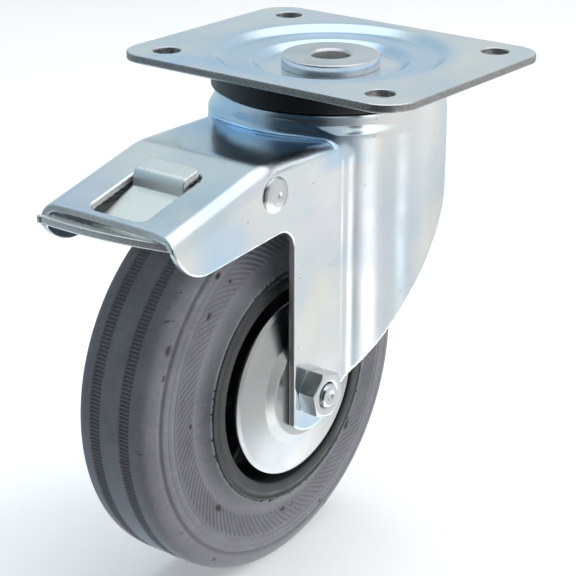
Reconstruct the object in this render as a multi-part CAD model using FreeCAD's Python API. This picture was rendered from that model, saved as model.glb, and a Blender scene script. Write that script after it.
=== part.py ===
import FreeCAD, Part
import math
import os

# Swivel caster with a foot brake, in millimetres.
# Origin: centre of the top plate's mounting face, on the swivel axis. +Z up, travel towards +X.
# The wheel trails towards -X, where the brake lever's lip stands out. The axle nut is on the -Y side.

Vec = FreeCAD.Vector
UP = Vec(0, 0, 1)
ALONG_Y = Vec(0, 1, 0)

# Whole caster
OVERALL_HEIGHT = 200.0
SWIVEL_OFFSET = 56.0
WHEEL_RADIUS = 80.0
TREAD_HALF_WIDTH = 20.0
AXLE_X = -SWIVEL_OFFSET
AXLE_Z = WHEEL_RADIUS - OVERALL_HEIGHT

# Top plate
PLATE_SIZE_X = 108.0
PLATE_SIZE_Y = 138.0
PLATE_SHEET = 3.5
PLATE_CORNER = 13.0
HOLE_SPACING_X = 80.0
HOLE_SPACING_Y = 105.0
HOLE_RADIUS = 5.5
RECESS_RADIUS = 47.5
RING_DEPTH = 3.0
FLOOR_DEPTH = 6.0

# Kingpin and swivel races
KINGPIN_FLANGE_RADIUS = 20.0
KINGPIN_TOP = -1.2
KINGPIN_SHANK = 12.0
KINGPIN_NECK = 11.0
KINGPIN_BORE = 8.0
RIVET_RADIUS = 15.0
RIVET_HEIGHT = 3.0
RUN_CLEARANCE = 0.05
UPPER_BALL = 4.0
UPPER_BALL_CIRCLE = 38.0
UPPER_BALL_COUNT = 28
UPPER_BALL_Z = -9.05
LOWER_BALL = 3.0
LOWER_BALL_CIRCLE = 27.0
LOWER_BALL_COUNT = 26
CUP_RADIUS = 33.0

# Fork: one pressed sheet with a swivel head, a brake hood and two legs
SHEET = 3.0
HOOD_HALF_WIDTH = 34.0
HOOD_ROOF_Z = -22.6
HOOD_SLOPE = 14.3
HOOD_BEND = 7.0
ROOF_KINK_X = -78.0
ROOF_KINK_RADIUS = 30.0
HEAD_RADIUS = 47.0
HEAD_TOP_Z = -11.5
HEAD_EDGE = 5.0
HEAD_HOLE = 20.0
BULGE_RADIUS = 48.5
BULGE_X = -1.8
CREASE_RADIUS = 6.0
LEG_BOTTOM_RADIUS = 16.6

# Brake
PIVOT_X = -79.0
PIVOT_Z = -33.0
PIVOT_PIN = 4.0
PIVOT_HEAD = 7.0
PIVOT_HEAD_HEIGHT = 2.4
BRAKE_TRAVEL = 10.0
BRAKE_GAP = 0.3
LEVER_HALF_WIDTH = 27.5
LEVER_TOP_Z = -40.2
TONGUE_HALF_WIDTH = 12.5
WINDOW_X = (-128.0, -94.0)
TAB_END_X = -95.0
WINDOW_HALF_WIDTH = 13.5
SHOE_X = (-106.0, -92.0)
SHOE_HALF_WIDTH = 17.0
SHOE_RIVET = 2.5

# Axle and wheel bearing
AXLE_RADIUS = 5.0
HEX_ACROSS_FLATS = 17.0
NUT_HEIGHT = 8.0
HEAD_HEIGHT = 6.4
BOLT_OVERHANG = 9.2
SLEEVE_RADIUS = 10.0
SLEEVE_BORE = 5.15
SLEEVE_HALF_LENGTH = 30.0
GUARD_RADIUS = 36.8
GUARD_SHEET = 1.0
ROLLER_COUNT = 10
ROLLER_HALF_LENGTH = 22.0
CAGE_HALF_LENGTH = 25.0
LINER_BORE = 15.0
LINER_RADIUS = 16.5
LINER_HALF_LENGTH = 27.0

# Rim and tyre
RIM_BED = 48.4
RIM_LIP_Y = 24.4
RIM_INNER = 41.0
RIM_RIDGE = 53.0
HUB_RADIUS = 18.5
WEB_HALF = 5.0
RIB_COUNT = 8
GROOVE_Y = 7.3
GROOVE_HALF_WIDTH = 2.6
GROOVE_DEPTH = 1.0


def path_edges(start, steps):
    """Edges through the steps: [end] is a line, [through, end] is an arc."""
    edges = []
    here = start
    for step in steps:
        end = step[-1]
        if len(step) == 1:
            edges.append(Part.LineSegment(here, end).toShape())
        else:
            edges.append(Part.Arc(here, step[0], end).toShape())
        here = end
    return edges


def closed_face(start, steps):
    """Flat face whose outline runs from start through the steps and straight back to start."""
    edges = path_edges(start, steps)
    last = steps[-1][-1]
    if (last - start).Length > 1e-6:
        edges.append(Part.LineSegment(last, start).toShape())
    return Part.Face(Part.Wire(edges))


def side(x, z):
    """Point in the side view, on the middle plane."""
    return Vec(x, 0, z)


def side_face(start, steps):
    """Face in the side view from (x, z) pairs."""
    return closed_face(side(*start), [[side(*point) for point in step] for step in steps])


def plan_face(start, steps, z):
    """Face in the plan view at height z from (x, y) pairs."""
    return closed_face(Vec(*start, z), [[Vec(*point, z) for point in step] for step in steps])


def across(face, half_width):
    """Side view face thickened to both sides of the middle plane."""
    face.translate(Vec(0, -half_width, 0))
    return face.extrude(Vec(0, 2 * half_width, 0))


def turned(points):
    """Solid of revolution about the swivel axis from (radius, z) points."""
    return side_face(points[0], [[point] for point in points[1:]]).revolve(Vec(), UP, 360)


def turned_on_axle(points):
    """Solid of revolution about the axle from (radius, y) points."""
    corners = [Vec(radius, y, 0) for radius, y in points]
    solid = closed_face(corners[0], [[corner] for corner in corners[1:]]).revolve(Vec(), ALONG_Y, 360)
    return on_axle(solid)


def on_axle(solid):
    """Move a solid built about the origin to the axle."""
    solid.translate(Vec(AXLE_X, 0, AXLE_Z))
    return solid


def ring(outer, inner, z_low, z_high):
    """Plain ring about the swivel axis."""
    height = z_high - z_low
    body = Part.makeCylinder(outer, height, Vec(0, 0, z_low))
    return body.cut(Part.makeCylinder(inner, height, Vec(0, 0, z_low)))


def rod_y(radius, y_low, y_high, x, z):
    """Round rod along Y."""
    return Part.makeCylinder(radius, y_high - y_low, Vec(x, y_low, z), ALONG_Y)


def tube_y(outer, inner, y_low, y_high, x, z):
    """Round tube along Y."""
    return rod_y(outer, y_low, y_high, x, z).cut(rod_y(inner, y_low, y_high, x, z))


def hexagon_y(across_flats, y_low, y_high, x, z, turn):
    """Hexagonal prism along Y with its outer corners turned down to a chamfer."""
    corner = across_flats / math.sqrt(3)
    points = []
    for step in range(6):
        angle = math.radians(turn + 60 * step)
        points.append(Vec(x + corner * math.cos(angle), y_low, z + corner * math.sin(angle)))
    prism = closed_face(points[0], [[point] for point in points[1:]]).extrude(Vec(0, y_high - y_low, 0))
    turned_blank = rod_y(corner, y_low, y_high, x, z)
    chamfer = corner - across_flats / 2 + 0.2
    ends = [edge for edge in turned_blank.Edges if len(edge.Vertexes) == 1]
    return prism.common(turned_blank.makeFillet(chamfer, ends))


def rounded_box(x_low, x_high, half_width, z_low, z_high, corner):
    """Block centred on the middle plane with round upright corners."""
    box = Part.makeBox(x_high - x_low, 2 * half_width, z_high - z_low, Vec(x_low, -half_width, z_low))
    uprights = [edge for edge in box.Edges if abs(edge.tangentAt(edge.FirstParameter).z) > 0.9]
    return box.makeFillet(corner, uprights)


def ball_set(radius, circle, count, z):
    """Ring of balls as separate solids."""
    balls = []
    for step in range(count):
        angle = 2 * math.pi * step / count
        balls.append(Part.makeSphere(radius, Vec(circle * math.cos(angle), circle * math.sin(angle), z)))
    return Part.makeCompound(balls)


def race(circle, ball_radius, z):
    """Torus that cuts a ball groove."""
    return Part.makeTorus(circle, ball_radius + RUN_CLEARANCE, Vec(0, 0, z))


def lower_ball_z():
    """Height of the lower ball centres under the fork head."""
    groove_depth = 1.0
    return HEAD_TOP_Z - SHEET + groove_depth - LOWER_BALL - RUN_CLEARANCE


def cup_top_z():
    """Top of the lower race cup."""
    groove_depth = 1.0
    return lower_ball_z() - LOWER_BALL - RUN_CLEARANCE + groove_depth


def top_plate():
    """Pressed plate: flat rim with four holes and a two-step round recess."""
    half_x = PLATE_SIZE_X / 2
    sheet = rounded_box(-half_x, half_x, PLATE_SIZE_Y / 2, -PLATE_SHEET, 0, PLATE_CORNER)
    sheet = sheet.cut(Part.makeCylinder(RECESS_RADIUS, 2 * PLATE_SHEET, Vec(0, 0, -1.5 * PLATE_SHEET)))
    ring_z = -RING_DEPTH
    floor_z = -FLOOR_DEPTH
    pressed = turned([
        (RECESS_RADIUS, 0), (43.5, ring_z), (32.5, ring_z), (28.5, floor_z), (KINGPIN_SHANK, floor_z),
        (KINGPIN_SHANK, floor_z - PLATE_SHEET), (30.0, floor_z - PLATE_SHEET), (33.5, ring_z - PLATE_SHEET),
        (44.8, ring_z - PLATE_SHEET), (RECESS_RADIUS, -PLATE_SHEET)])
    plate = sheet.fuse(pressed).cut(race(UPPER_BALL_CIRCLE, UPPER_BALL, UPPER_BALL_Z))
    for side_x in (-1, 1):
        for side_y in (-1, 1):
            centre = Vec(side_x * HOLE_SPACING_X / 2, side_y * HOLE_SPACING_Y / 2, -PLATE_SHEET)
            plate = plate.cut(Part.makeCylinder(HOLE_RADIUS, PLATE_SHEET, centre))
    return plate


def kingpin():
    """Flanged hollow pin, riveted over below the lower race cup."""
    seat = -FLOOR_DEPTH
    shoulder = cup_top_z()
    under_cup = shoulder - SHEET
    tip = under_cup - RIVET_HEIGHT
    pin = turned([
        (KINGPIN_BORE, KINGPIN_TOP - 1), (KINGPIN_BORE + 1, KINGPIN_TOP), (KINGPIN_FLANGE_RADIUS - 1, KINGPIN_TOP),
        (KINGPIN_FLANGE_RADIUS, KINGPIN_TOP - 1), (KINGPIN_FLANGE_RADIUS, seat), (KINGPIN_SHANK, seat),
        (KINGPIN_SHANK, shoulder), (KINGPIN_NECK, shoulder), (KINGPIN_NECK, under_cup), (RIVET_RADIUS, under_cup),
        (RIVET_RADIUS, under_cup - 1), (RIVET_RADIUS - 2, tip), (KINGPIN_BORE, tip)])
    return pin


def lower_race_cup():
    """Pressed ring that carries the lower balls."""
    top = cup_top_z()
    cup = ring(CUP_RADIUS, KINGPIN_NECK, top - SHEET, top)
    return cup.cut(race(LOWER_BALL_CIRCLE, LOWER_BALL, lower_ball_z()))


def swivel_dust_seal():
    """Black ring on the fork's shoulder that closes the gap under the plate."""
    outer = 48.4
    skirt = ring(outer, HEAD_RADIUS + 0.4, -12.7, -PLATE_SHEET - 0.4)
    foot = ring(outer, 43.2, HEAD_TOP_Z, HEAD_TOP_Z + 2.5)
    return skirt.fuse(foot).removeSplitter()


def plan_outline(inset):
    """Fork in plan: flat sides that swell into a round rear, drawn inset from the outside."""
    half = HOOD_HALF_WIDTH - inset
    bulge = BULGE_RADIUS - inset
    crease = CREASE_RADIUS + inset
    crease_y = HOOD_HALF_WIDTH + CREASE_RADIUS
    reach = BULGE_RADIUS + CREASE_RADIUS
    crease_x = BULGE_X - math.sqrt(reach ** 2 - crease_y ** 2)
    to_bulge = Vec(BULGE_X - crease_x, -crease_y, 0).normalize()
    halfway = (to_bulge + Vec(0, -1, 0)).normalize()
    joint_x = crease_x + crease * to_bulge.x
    joint_y = crease_y + crease * to_bulge.y
    turn_x = crease_x + crease * halfway.x
    turn_y = crease_y + crease * halfway.y
    front_x = -150.0
    return (front_x, half), [
        [(crease_x, half)], [(turn_x, turn_y), (joint_x, joint_y)],
        [(BULGE_X + bulge, 0), (joint_x, -joint_y)],
        [(turn_x, -turn_y), (crease_x, -half)], [(front_x, -half)]]


def roof_outline(inset):
    """Side view of the space under the hood's roof: a flat, a gentle bend and a slope down to the front."""
    slope = math.radians(HOOD_SLOPE)
    radius = ROOF_KINK_RADIUS - inset
    centre_z = HOOD_ROOF_Z - ROOF_KINK_RADIUS
    bend_x = ROOF_KINK_X - radius * math.sin(slope)
    bend_z = centre_z + radius * math.cos(slope)
    mid_x = ROOF_KINK_X - radius * math.sin(slope / 2)
    mid_z = centre_z + radius * math.cos(slope / 2)
    front_x = -160.0
    front_z = bend_z + (front_x - bend_x) * math.tan(slope)
    floor_z = -160.0
    return (60.0, floor_z), [
        [(60.0, centre_z + radius)], [(ROOF_KINK_X, centre_z + radius)],
        [(mid_x, mid_z), (bend_x, bend_z)], [(front_x, front_z)], [(front_x, floor_z)]]


def folded_block(inset):
    """Solid inside the folded sheet, drawn inset from its outside, with round roof edges."""
    plan = plan_face(*plan_outline(inset), -150.0).extrude(Vec(0, 0, 150.0))
    under_roof = across(side_face(*roof_outline(inset)), 60.0)
    block = plan.common(under_roof)
    roof_edges = []
    for edge in block.Edges:
        middle = edge.valueAt((edge.FirstParameter + edge.LastParameter) / 2)
        at_wall = abs(middle.y) > 20 or middle.x > 0
        if at_wall and middle.z > -60 and abs(edge.tangentAt(edge.FirstParameter).z) < 0.5 and middle.x < 60:
            roof_edges.append(edge)
    return block.makeFillet(HOOD_BEND - inset, roof_edges)


def head_block(inset, edge_radius):
    """Solid inside the round swivel head."""
    low = -60.0
    head = Part.makeCylinder(HEAD_RADIUS - inset, HEAD_TOP_Z - inset - low, Vec(0, 0, low))
    top_edges = [edge for edge in head.Edges
                 if len(edge.Vertexes) == 1 and edge.Vertexes[0].Z > HEAD_TOP_Z - inset - 0.01]
    return head.makeFillet(edge_radius, top_edges)


def fork_outline():
    """Side view of the sheet's edge: hood front, lobe, leg, rear cut and head."""
    leg_x = -67.5
    bottom = LEG_BOTTOM_RADIUS
    heel_z = AXLE_Z - math.sqrt(bottom ** 2 - (leg_x - AXLE_X) ** 2)
    toe = bottom * math.sqrt(0.5)
    steps = [
        [(-135.0, -37.0)], [(-128.6, -48.6), (-117.5, -53.0)], [(-76.0, -49.2)],
        [(-69.8, -51.6), (leg_x, -57.5)], [(leg_x, heel_z)],
        [(AXLE_X, AXLE_Z - bottom), (AXLE_X + toe, AXLE_Z - toe)]]
    start = (-133.0, -20.0)
    edges = path_edges(side(*start), [[side(*point) for point in step] for step in steps])
    rear = [side(AXLE_X + toe, AXLE_Z - toe), side(-25, -109.5), side(-3, -83), side(18, -61.5), side(49, -36.5)]
    rear_curve = Part.BSplineCurve()
    rear_curve.interpolate(rear)
    edges.append(rear_curve.toShape())
    edges += path_edges(rear[-1], [[side(60, -36.5)], [side(60, 0)], [side(-133, 0)], [side(*start)]])
    return Part.Face(Part.Wire(edges))


def fork():
    """Pressed fork with head, hood, window, legs and holes."""
    outside = folded_block(0).fuse(head_block(0, HEAD_EDGE))
    inside = folded_block(SHEET).fuse(head_block(SHEET, HEAD_EDGE - SHEET))
    shell = outside.cut(inside).common(across(fork_outline(), 60.0))
    bead = Part.makeTorus(UPPER_BALL_CIRCLE, UPPER_BALL + 2.0, Vec(0, 0, UPPER_BALL_Z))
    below_head = Part.makeCylinder(HEAD_RADIUS - SHEET, 10, Vec(0, 0, HEAD_TOP_Z - SHEET - 9))
    shell = shell.fuse(bead.common(below_head))
    shell = shell.cut(race(UPPER_BALL_CIRCLE, UPPER_BALL, UPPER_BALL_Z))
    shell = shell.cut(race(LOWER_BALL_CIRCLE, LOWER_BALL, lower_ball_z()))
    shell = shell.cut(Part.makeCylinder(HEAD_HOLE, 20, Vec(0, 0, HEAD_TOP_Z - 15)))
    shell = shell.cut(rounded_box(*WINDOW_X, WINDOW_HALF_WIDTH, -60, 0, 3.5))
    shell = shell.cut(rod_y(PIVOT_PIN, -60, 60, PIVOT_X, PIVOT_Z))
    shell = shell.cut(rod_y(AXLE_RADIUS, -60, 60, AXLE_X, AXLE_Z))
    return shell.removeSplitter()


def lever_pan():
    """Flat of the lever: curved foot lip, lanced opening and shoe seat."""
    half = LEVER_HALF_WIDTH
    low = LEVER_TOP_Z - SHEET
    pan = plan_face((-88.0, half), [
        [(-131.0, half)], [(-133.6, half - 0.9), (-134.5, half - 2.5)], [(-137.3, 0), (-134.5, 2.5 - half)],
        [(-133.6, 0.9 - half), (-131.0, -half)], [(-88.0, -half)]], low).extrude(Vec(0, 0, SHEET))
    opening = rounded_box(-124.0, -106.5, TONGUE_HALF_WIDTH + 1.0, low - 1, low + SHEET + 1, 2.0)
    return pan.cut(opening)


def lever_tongue():
    """Tongue bent up through the hood's window, with a tab that a toe can lift."""
    top = LEVER_TOP_Z
    low = LEVER_TOP_Z - SHEET
    profile = side_face((-130.0, low), [
        [(-130.0, top)], [(-126.4, top)], [(-124.9, -39.9), (-123.6, -39.2)], [(-105.0, -29.5)], [(-104.8, -27.2)],
        [(-104.3, -25.9), (-103.0, -24.9)], [(TAB_END_X - 0.4, -23.0)], [(TAB_END_X + 0.4, -25.9)], [(-101.0, -27.5)],
        [(-101.9, -28.2), (-102.0, -29.0)], [(-102.0, -31.4)], [(-123.8, -42.6)], [(-124.6, low)]])
    tongue = across(profile, TONGUE_HALF_WIDTH)
    corners = [edge for edge in tongue.Edges
               if abs(edge.CenterOfMass.x - TAB_END_X) < 0.1 and abs(edge.CenterOfMass.y) > 5]
    return tongue.makeFillet(2.0, corners)


def lever_ear(y_low):
    """Upright cheek of the lever with its pivot eye."""
    low = LEVER_TOP_Z - SHEET
    eye = 6.2
    cheek = side_face((-120.0, low), [
        [(-88.0, low)], [(PIVOT_X + 1.0, PIVOT_Z - eye)], [(PIVOT_X + 1.0, PIVOT_Z + 5.0)],
        [(PIVOT_X - 3.0, PIVOT_Z + 5.4)], [(-112.0, -37.5)], [(-120.0, LEVER_TOP_Z)]])
    cheek.translate(Vec(0, y_low, 0))
    ear = cheek.extrude(Vec(0, SHEET, 0)).fuse(rod_y(eye, y_low, y_low + SHEET, PIVOT_X, PIVOT_Z))
    return ear.cut(rod_y(PIVOT_PIN + RUN_CLEARANCE, y_low, y_low + SHEET, PIVOT_X, PIVOT_Z))


def brake_lever():
    """Pressed brake lever: lip, pan, tongue and two ears in one piece."""
    lever = lever_pan().fuse(lever_tongue())
    for y_low in (-LEVER_HALF_WIDTH, LEVER_HALF_WIDTH - SHEET):
        lever = lever.fuse(lever_ear(y_low))
    for y in (-9.0, 9.0):
        hole = Part.makeCylinder(SHOE_RIVET, SHEET, Vec(sum(SHOE_X) / 2, y, LEVER_TOP_Z - SHEET))
        lever = lever.cut(hole)
    return lever.removeSplitter()


def braked_wheel_centre():
    """Wheel centre as seen from the lever when the brake is full on."""
    travel = math.radians(BRAKE_TRAVEL)
    dx = AXLE_X - PIVOT_X
    dz = AXLE_Z - PIVOT_Z
    x = PIVOT_X + dx * math.cos(travel) + dz * math.sin(travel)
    z = PIVOT_Z - dx * math.sin(travel) + dz * math.cos(travel)
    return x, z


def brake_shoe():
    """Moulded shoe whose hollow face meets the tread at full travel."""
    top = LEVER_TOP_Z - SHEET
    block = rounded_box(*SHOE_X, SHOE_HALF_WIDTH, top - 12.0, top, 2.0)
    x, z = braked_wheel_centre()
    block = block.cut(rod_y(WHEEL_RADIUS + BRAKE_GAP, -30, 30, x, z))
    for y in (-9.0, 9.0):
        block = block.cut(Part.makeCylinder(SHOE_RIVET, 2.2, Vec(sum(SHOE_X) / 2, y, top - 2.2)))
    return block


def shoe_rivets():
    """Two round-headed rivets that hold the shoe on the lever."""
    x = sum(SHOE_X) / 2
    rivets = []
    for y in (-9.0, 9.0):
        shank = Part.makeCylinder(SHOE_RIVET, SHEET + 2.2, Vec(x, y, LEVER_TOP_Z - SHEET - 2.2))
        head = Part.makeCylinder(4.5, 2.0, Vec(x, y, LEVER_TOP_Z))
        dome = [edge for edge in head.Edges if len(edge.Vertexes) == 1 and edge.Vertexes[0].Z > LEVER_TOP_Z + 1]
        rivets.append(shank.fuse(head.makeFillet(1.4, dome)).removeSplitter())
    return Part.makeCompound(rivets)


def lever_pivot_pin():
    """Pin through the hood, riveted over with a low dome at each end."""
    half = HOOD_HALF_WIDTH
    pin = rod_y(PIVOT_PIN, -half, half, PIVOT_X, PIVOT_Z)
    for low in (-half - PIVOT_HEAD_HEIGHT, half):
        outer_y = low if low < 0 else low + PIVOT_HEAD_HEIGHT
        head = rod_y(PIVOT_HEAD, low, low + PIVOT_HEAD_HEIGHT, PIVOT_X, PIVOT_Z)
        rim = [edge for edge in head.Edges if len(edge.Vertexes) == 1 and abs(edge.Vertexes[0].Y - outer_y) < 0.01]
        pin = pin.fuse(head.makeFillet(1.6, rim))
    return pin.removeSplitter()


def lever_pivot_sleeve():
    """Spacer tube between the lever's ears."""
    half = LEVER_HALF_WIDTH - SHEET - 0.1
    return tube_y(5.2, PIVOT_PIN + RUN_CLEARANCE, -half, half, PIVOT_X, PIVOT_Z)


def lever_spring():
    """Torsion spring round the sleeve, with one leg under the hood's roof and one on the lever's pan."""
    wire = 0.8
    coil = 6.2
    pitch = 1.9
    length = 5.25 * pitch
    helix = Part.makeHelix(pitch, length, coil, 0, True)
    start = Part.Wire(Part.Circle(Vec(coil, 0, 0), ALONG_Y, wire).toShape())
    spring = Part.Wire(helix).makePipeShell([start], True, True)
    spring.translate(Vec(0, 0, -length / 2))
    spring.rotate(Vec(), Vec(1, 0, 0), -90)
    spring.rotate(Vec(), ALONG_Y, -90)
    first = Vec(0, -length / 2, coil)
    last = Vec(-coil, length / 2, 0)
    knee = Vec(-coil, length / 2, -coil)
    spring = spring.fuse(Part.makeCylinder(wire, 17.0, first, Vec(1, 0, 0)))
    spring = spring.fuse(Part.makeCylinder(wire, coil, last, -UP))
    spring = spring.fuse(Part.makeSphere(wire, knee))
    spring = spring.fuse(Part.makeCylinder(wire, 8.0, knee, Vec(-1, 0, 0)))
    spring.translate(Vec(PIVOT_X, 0, PIVOT_Z))
    return spring.removeSplitter()


def axle_bolt():
    """Bolt with its head on the far leg and a chamfered end past the nut."""
    leg = HOOD_HALF_WIDTH
    shank = rod_y(AXLE_RADIUS, -leg - BOLT_OVERHANG, leg, AXLE_X, AXLE_Z)
    tip = [edge for edge in shank.Edges
           if len(edge.Vertexes) == 1 and edge.Vertexes[0].Y < -leg - BOLT_OVERHANG + 0.01]
    shank = shank.makeChamfer(1.2, tip)
    return shank.fuse(hexagon_y(HEX_ACROSS_FLATS, leg, leg + HEAD_HEIGHT, AXLE_X, AXLE_Z, 14)).removeSplitter()


def axle_nut():
    """Hexagon nut on the near leg."""
    leg = HOOD_HALF_WIDTH
    nut = hexagon_y(HEX_ACROSS_FLATS, -leg - NUT_HEIGHT, -leg, AXLE_X, AXLE_Z, 44)
    return nut.cut(rod_y(AXLE_RADIUS, -leg - NUT_HEIGHT, -leg, AXLE_X, AXLE_Z))


def axle_sleeve():
    """Spacer tube that the rollers run on."""
    return tube_y(SLEEVE_RADIUS, SLEEVE_BORE, -SLEEVE_HALF_LENGTH, SLEEVE_HALF_LENGTH, AXLE_X, AXLE_Z)


def thread_guard(side_y):
    """Dished disc clamped between the sleeve and a leg, on the side given by the sign of side_y."""
    sheet = GUARD_SHEET
    inner_leg = HOOD_HALF_WIDTH - SHEET
    outline = [
        (SLEEVE_BORE, inner_leg), (19.5, inner_leg), (21.5, inner_leg - 0.7), (24.5, 28.2), (GUARD_RADIUS - 1.2, 26.4),
        (GUARD_RADIUS, 25.6), (GUARD_RADIUS, 24.4), (GUARD_RADIUS - sheet, 24.4), (GUARD_RADIUS - sheet, 25.2),
        (24.0, 28.2 - sheet), (21.0, inner_leg - 1.8), (19.2, inner_leg - sheet), (SLEEVE_BORE, inner_leg - sheet)]
    return turned_on_axle([(radius, side_y * y) for radius, y in outline])


def bearing_rollers():
    """Needle rollers round the sleeve as separate solids."""
    circle = (SLEEVE_RADIUS + LINER_BORE) / 2
    radius = (LINER_BORE - SLEEVE_RADIUS) / 2 - RUN_CLEARANCE
    rollers = []
    for step in range(ROLLER_COUNT):
        angle = 2 * math.pi * step / ROLLER_COUNT
        x = AXLE_X + circle * math.cos(angle)
        z = AXLE_Z + circle * math.sin(angle)
        rollers.append(rod_y(radius, -ROLLER_HALF_LENGTH, ROLLER_HALF_LENGTH, x, z))
    return Part.makeCompound(rollers)


def roller_cage():
    """Moulded cage with one pocket for each roller."""
    circle = (SLEEVE_RADIUS + LINER_BORE) / 2
    pocket = (LINER_BORE - SLEEVE_RADIUS) / 2 + RUN_CLEARANCE
    half = ROLLER_HALF_LENGTH + 0.3
    cage = tube_y(circle + 1.3, circle - 1.3, -CAGE_HALF_LENGTH, CAGE_HALF_LENGTH, AXLE_X, AXLE_Z)
    for step in range(ROLLER_COUNT):
        angle = 2 * math.pi * step / ROLLER_COUNT
        x = AXLE_X + circle * math.cos(angle)
        z = AXLE_Z + circle * math.sin(angle)
        cage = cage.cut(rod_y(pocket, -half, half, x, z))
    return cage


def hub_liner():
    """Steel tube pressed into the rim's hub."""
    return tube_y(LINER_RADIUS, LINER_BORE, -LINER_HALF_LENGTH, LINER_HALF_LENGTH, AXLE_X, AXLE_Z)


def wheel_rim():
    """Moulded rim: hub, web with ribs and a bed with a centre ridge."""
    hub_half = LINER_HALF_LENGTH
    lip = RIM_LIP_Y
    half = [
        (LINER_RADIUS, hub_half), (HUB_RADIUS, hub_half), (HUB_RADIUS + 0.6, WEB_HALF), (RIM_INNER - 1.5, WEB_HALF),
        (RIM_INNER, lip - 0.6), (RIM_INNER + 0.6, lip), (RIM_BED - 0.6, lip), (RIM_BED, lip - 0.6),
        (RIM_BED, WEB_HALF + 4), (RIM_RIDGE, WEB_HALF + 2)]
    rim = turned_on_axle(half + [(radius, -y) for radius, y in reversed(half)])
    for step in range(RIB_COUNT):
        rib = Part.makeBox(RIM_INNER - HUB_RADIUS, 40.0, 2.6, Vec(HUB_RADIUS, -20.0, -1.3))
        rib.rotate(Vec(), ALONG_Y, 360 * step / RIB_COUNT)
        rim = rim.fuse(on_axle(rib))
    return rim.removeSplitter()


def tyre():
    """Rubber tyre with two tread grooves, bonded over the rim's bed."""
    tread = WHEEL_RADIUS
    wide = TREAD_HALF_WIDTH
    groove_in = GROOVE_Y - GROOVE_HALF_WIDTH
    groove_out = GROOVE_Y + GROOVE_HALF_WIDTH
    half = [
        (tread, groove_in - 0.3), (tread - GROOVE_DEPTH, groove_in + 0.3), (tread - GROOVE_DEPTH, groove_out - 0.3),
        (tread, groove_out + 0.3), (tread - 0.3, wide - 5.5), (tread - 1.2, wide - 3.2), (tread - 3.0, wide - 1.6),
        (tread - 5.5, wide - 0.9), (68.0, wide - 0.5), (57.0, wide), (54.5, wide + 0.2), (51.5, wide + 1.2),
        (49.6, wide + 3.1), (RIM_BED, wide + 3.5), (RIM_BED, WEB_HALF + 4), (RIM_RIDGE, WEB_HALF + 2)]
    return turned_on_axle(half + [(radius, -y) for radius, y in reversed(half)])


def all_parts():
    """Every separate piece of the caster by node name."""
    return {
        "top_plate": top_plate(),
        "kingpin": kingpin(),
        "lower_race_cup": lower_race_cup(),
        "upper_race_balls": ball_set(UPPER_BALL, UPPER_BALL_CIRCLE, UPPER_BALL_COUNT, UPPER_BALL_Z),
        "lower_race_balls": ball_set(LOWER_BALL, LOWER_BALL_CIRCLE, LOWER_BALL_COUNT, lower_ball_z()),
        "swivel_dust_seal": swivel_dust_seal(),
        "fork": fork(),
        "brake_lever": brake_lever(),
        "brake_shoe": brake_shoe(),
        "shoe_rivets": shoe_rivets(),
        "lever_pivot_pin": lever_pivot_pin(),
        "lever_pivot_sleeve": lever_pivot_sleeve(),
        "lever_spring": lever_spring(),
        "axle_bolt": axle_bolt(),
        "axle_nut": axle_nut(),
        "axle_sleeve": axle_sleeve(),
        "thread_guard_near": thread_guard(-1),
        "thread_guard_far": thread_guard(1),
        "roller_cage": roller_cage(),
        "bearing_rollers": bearing_rollers(),
        "hub_liner": hub_liner(),
        "wheel_rim": wheel_rim(),
        "tyre": tyre(),
    }


os.makedirs("parts", exist_ok=True)
for node, shape in all_parts().items():
    print(node, len(shape.Solids), "solid(s)", "valid" if shape.isValid() else "INVALID")
    shape.exportStep("parts/" + node + ".step")
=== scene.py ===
"""Swivel caster with a foot brake: finished meshes, materials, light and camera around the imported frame."""
import math
from itertools import product

import bmesh
import bpy
import numpy as np
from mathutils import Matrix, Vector


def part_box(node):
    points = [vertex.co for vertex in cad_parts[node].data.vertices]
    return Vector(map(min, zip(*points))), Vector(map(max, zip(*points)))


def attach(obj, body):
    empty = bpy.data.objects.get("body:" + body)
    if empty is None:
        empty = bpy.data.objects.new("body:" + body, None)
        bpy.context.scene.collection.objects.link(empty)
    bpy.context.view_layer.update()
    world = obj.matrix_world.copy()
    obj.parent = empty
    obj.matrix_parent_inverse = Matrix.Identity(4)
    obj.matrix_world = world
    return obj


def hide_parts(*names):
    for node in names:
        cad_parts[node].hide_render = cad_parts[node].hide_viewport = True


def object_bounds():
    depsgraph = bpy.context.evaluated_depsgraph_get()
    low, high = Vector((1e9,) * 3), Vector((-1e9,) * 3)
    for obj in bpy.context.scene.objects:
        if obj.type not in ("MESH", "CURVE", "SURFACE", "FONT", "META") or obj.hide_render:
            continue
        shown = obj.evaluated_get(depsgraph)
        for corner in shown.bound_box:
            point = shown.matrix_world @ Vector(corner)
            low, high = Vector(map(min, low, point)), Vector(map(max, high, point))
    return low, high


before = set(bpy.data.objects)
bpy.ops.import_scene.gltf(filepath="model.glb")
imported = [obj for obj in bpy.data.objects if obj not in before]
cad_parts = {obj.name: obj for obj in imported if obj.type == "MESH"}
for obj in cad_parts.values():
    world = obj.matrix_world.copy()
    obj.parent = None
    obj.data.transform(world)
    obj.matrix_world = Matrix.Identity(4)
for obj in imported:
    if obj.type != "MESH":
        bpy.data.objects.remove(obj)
cad_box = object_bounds()

MM = 0.001


# ---- places taken from the frame (millimetres)

def box_mm(node):
    """Lowest and highest corner of a CAD node in millimetres."""
    low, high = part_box(node)
    return np.array(low) / MM, np.array(high) / MM


def middle_mm(node):
    """Centre of a CAD node in millimetres."""
    low, high = box_mm(node)
    return (low + high) / 2


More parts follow.
